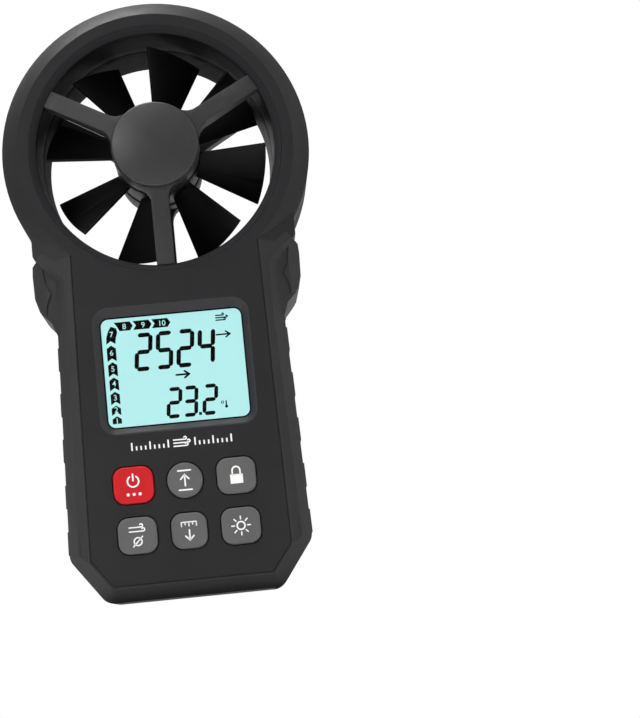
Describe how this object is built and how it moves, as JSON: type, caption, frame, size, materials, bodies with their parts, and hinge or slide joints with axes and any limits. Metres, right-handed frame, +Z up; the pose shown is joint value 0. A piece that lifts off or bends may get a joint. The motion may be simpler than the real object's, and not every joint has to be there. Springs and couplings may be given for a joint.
{
  "type": "handheld vane anemometer",
  "caption": "Handheld wind meter: a caged vane rotor in a round duct above a rubber-jacketed grip with a lit display, soft keys and a battery door.",
  "frame": {"origin": "on the flat foot, under the middle of the bounding box", "axes": "+Z up towards the ring, -Y out of the front face, +X to the right seen from the front"},
  "size_m": [0.085, 0.0368, 0.1656],
  "materials": {
    "black_abs": "fine satin texture, black ABS",
    "black_rubber": "matt black thermoplastic rubber",
    "duct_abs": "semi-gloss black ABS",
    "guard_abs": "satin dark grey ABS",
    "cap_abs": "satin dark grey ABS",
    "blade_plastic": "satin black polypropylene",
    "bright_steel": "zinc plated",
    "jewel": "polished synthetic ruby",
    "magnet": "ferrite",
    "green_board": "glass fibre board with solder mask",
    "chip_plastic": "moulded epoxy",
    "socket_nylon": "nylon",
    "grey_insulation": "soft PVC",
    "red_insulation": "soft PVC",
    "black_insulation": "soft PVC",
    "thermistor_bead": "epoxy bead",
    "clear_window": "clear acrylic window",
    "lcd_cell": "glass cell lit pale cyan from behind",
    "white_plastic": "white polycarbonate",
    "zebra_rubber": "layered silicone",
    "mat_silicone": "silicone",
    "pill_carbon": "carbon loaded silicone",
    "grey_key": "matt grey silicone",
    "red_key": "matt red silicone",
    "battery_jacket": "lacquered tin jacket over the cells",
    "brass": "turned",
    "foam": "closed cell foam"
  },
  "bodies": {
    "body": {"backlight_leds": "white_plastic", "battery": "battery_jacket", "battery_lead_black": "black_insulation", "battery_lead_red": "red_insulation", "battery_snap": "socket_nylon", "board_parts": "chip_plastic", "case_screws": "bright_steel", "circuit_board_screws": "bright_steel", "cover_screw_insert": "brass", "front_case": "black_abs", "front_duct_liner": "duct_abs", "front_grip_jacket": "black_rubber", "front_guard": "guard_abs", "front_hub_cap": "cap_abs", "front_jewel_bearing": "jewel", "hall_sensor": "chip_plastic", "keypad_mat": "mat_silicone", "lcd_backlight": "white_plastic", "lcd_frame": "white_plastic", "lcd_glass": "lcd_cell", "lcd_window": "clear_window", "lead_socket": "socket_nylon", "main_circuit_board": "green_board", "microcontroller": "chip_plastic", "rear_case": "black_abs", "rear_duct_liner": "duct_abs", "rear_grip_jacket": "black_rubber", "rear_guard": "guard_abs", "rear_hub_cap": "guard_abs", "rear_jewel_bearing": "jewel", "sensor_board": "green_board", "sensor_lead": "grey_insulation", "thermistor": "thermistor_bead", "thermistor_lead": "grey_insulation", "tripod_nut": "brass", "zebra_strips": "zebra_rubber"},
    "rotor": {"impeller": "blade_plastic", "rotor_shaft": "bright_steel", "rotor_magnet": "magnet"},
    "power_key": {"power_key": "red_key", "power_key_pill": "pill_carbon"},
    "min_max_key": {"min_max_key": "grey_key", "min_max_key_pill": "pill_carbon"},
    "set_hold_key": {"set_hold_key": "grey_key", "set_hold_key_pill": "pill_carbon"},
    "vel_avg_key": {"vel_avg_key": "grey_key", "vel_avg_key_pill": "pill_carbon"},
    "unit_key": {"unit_key": "grey_key", "unit_key_pill": "pill_carbon"},
    "light_key": {"light_key": "grey_key", "light_key_pill": "pill_carbon"},
    "battery_door": {"battery_cover": "black_abs", "battery_cover_screw": "bright_steel", "battery_foam": "foam"}
  },
  "joints": [
    {"name": "rotor_spin", "type": "hinge", "parent": "body", "child": "rotor", "pos_m": [0, 0, 0.1231], "axis": [0, 1, 0], "continuous": true},
    {"name": "power_key_press", "type": "slide", "parent": "body", "child": "power_key", "axis": [0, 1, 0], "range_m": [0, 0.0006], "stiffness_N_per_m": 2000},
    {"name": "min_max_key_press", "type": "slide", "parent": "body", "child": "min_max_key", "axis": [0, 1, 0], "range_m": [0, 0.0006], "stiffness_N_per_m": 2000},
    {"name": "set_hold_key_press", "type": "slide", "parent": "body", "child": "set_hold_key", "axis": [0, 1, 0], "range_m": [0, 0.0006], "stiffness_N_per_m": 2000},
    {"name": "vel_avg_key_press", "type": "slide", "parent": "body", "child": "vel_avg_key", "axis": [0, 1, 0], "range_m": [0, 0.0006], "stiffness_N_per_m": 2000},
    {"name": "unit_key_press", "type": "slide", "parent": "body", "child": "unit_key", "axis": [0, 1, 0], "range_m": [0, 0.0006], "stiffness_N_per_m": 2000},
    {"name": "light_key_press", "type": "slide", "parent": "body", "child": "light_key", "axis": [0, 1, 0], "range_m": [0, 0.0006], "stiffness_N_per_m": 2000},
    {"name": "battery_door_tilt", "type": "hinge", "parent": "body", "child": "battery_door", "pos_m": [0, 0.0184, 0.0744], "axis": [1, 0, 0], "range_deg": [0, 30]}
  ]
}
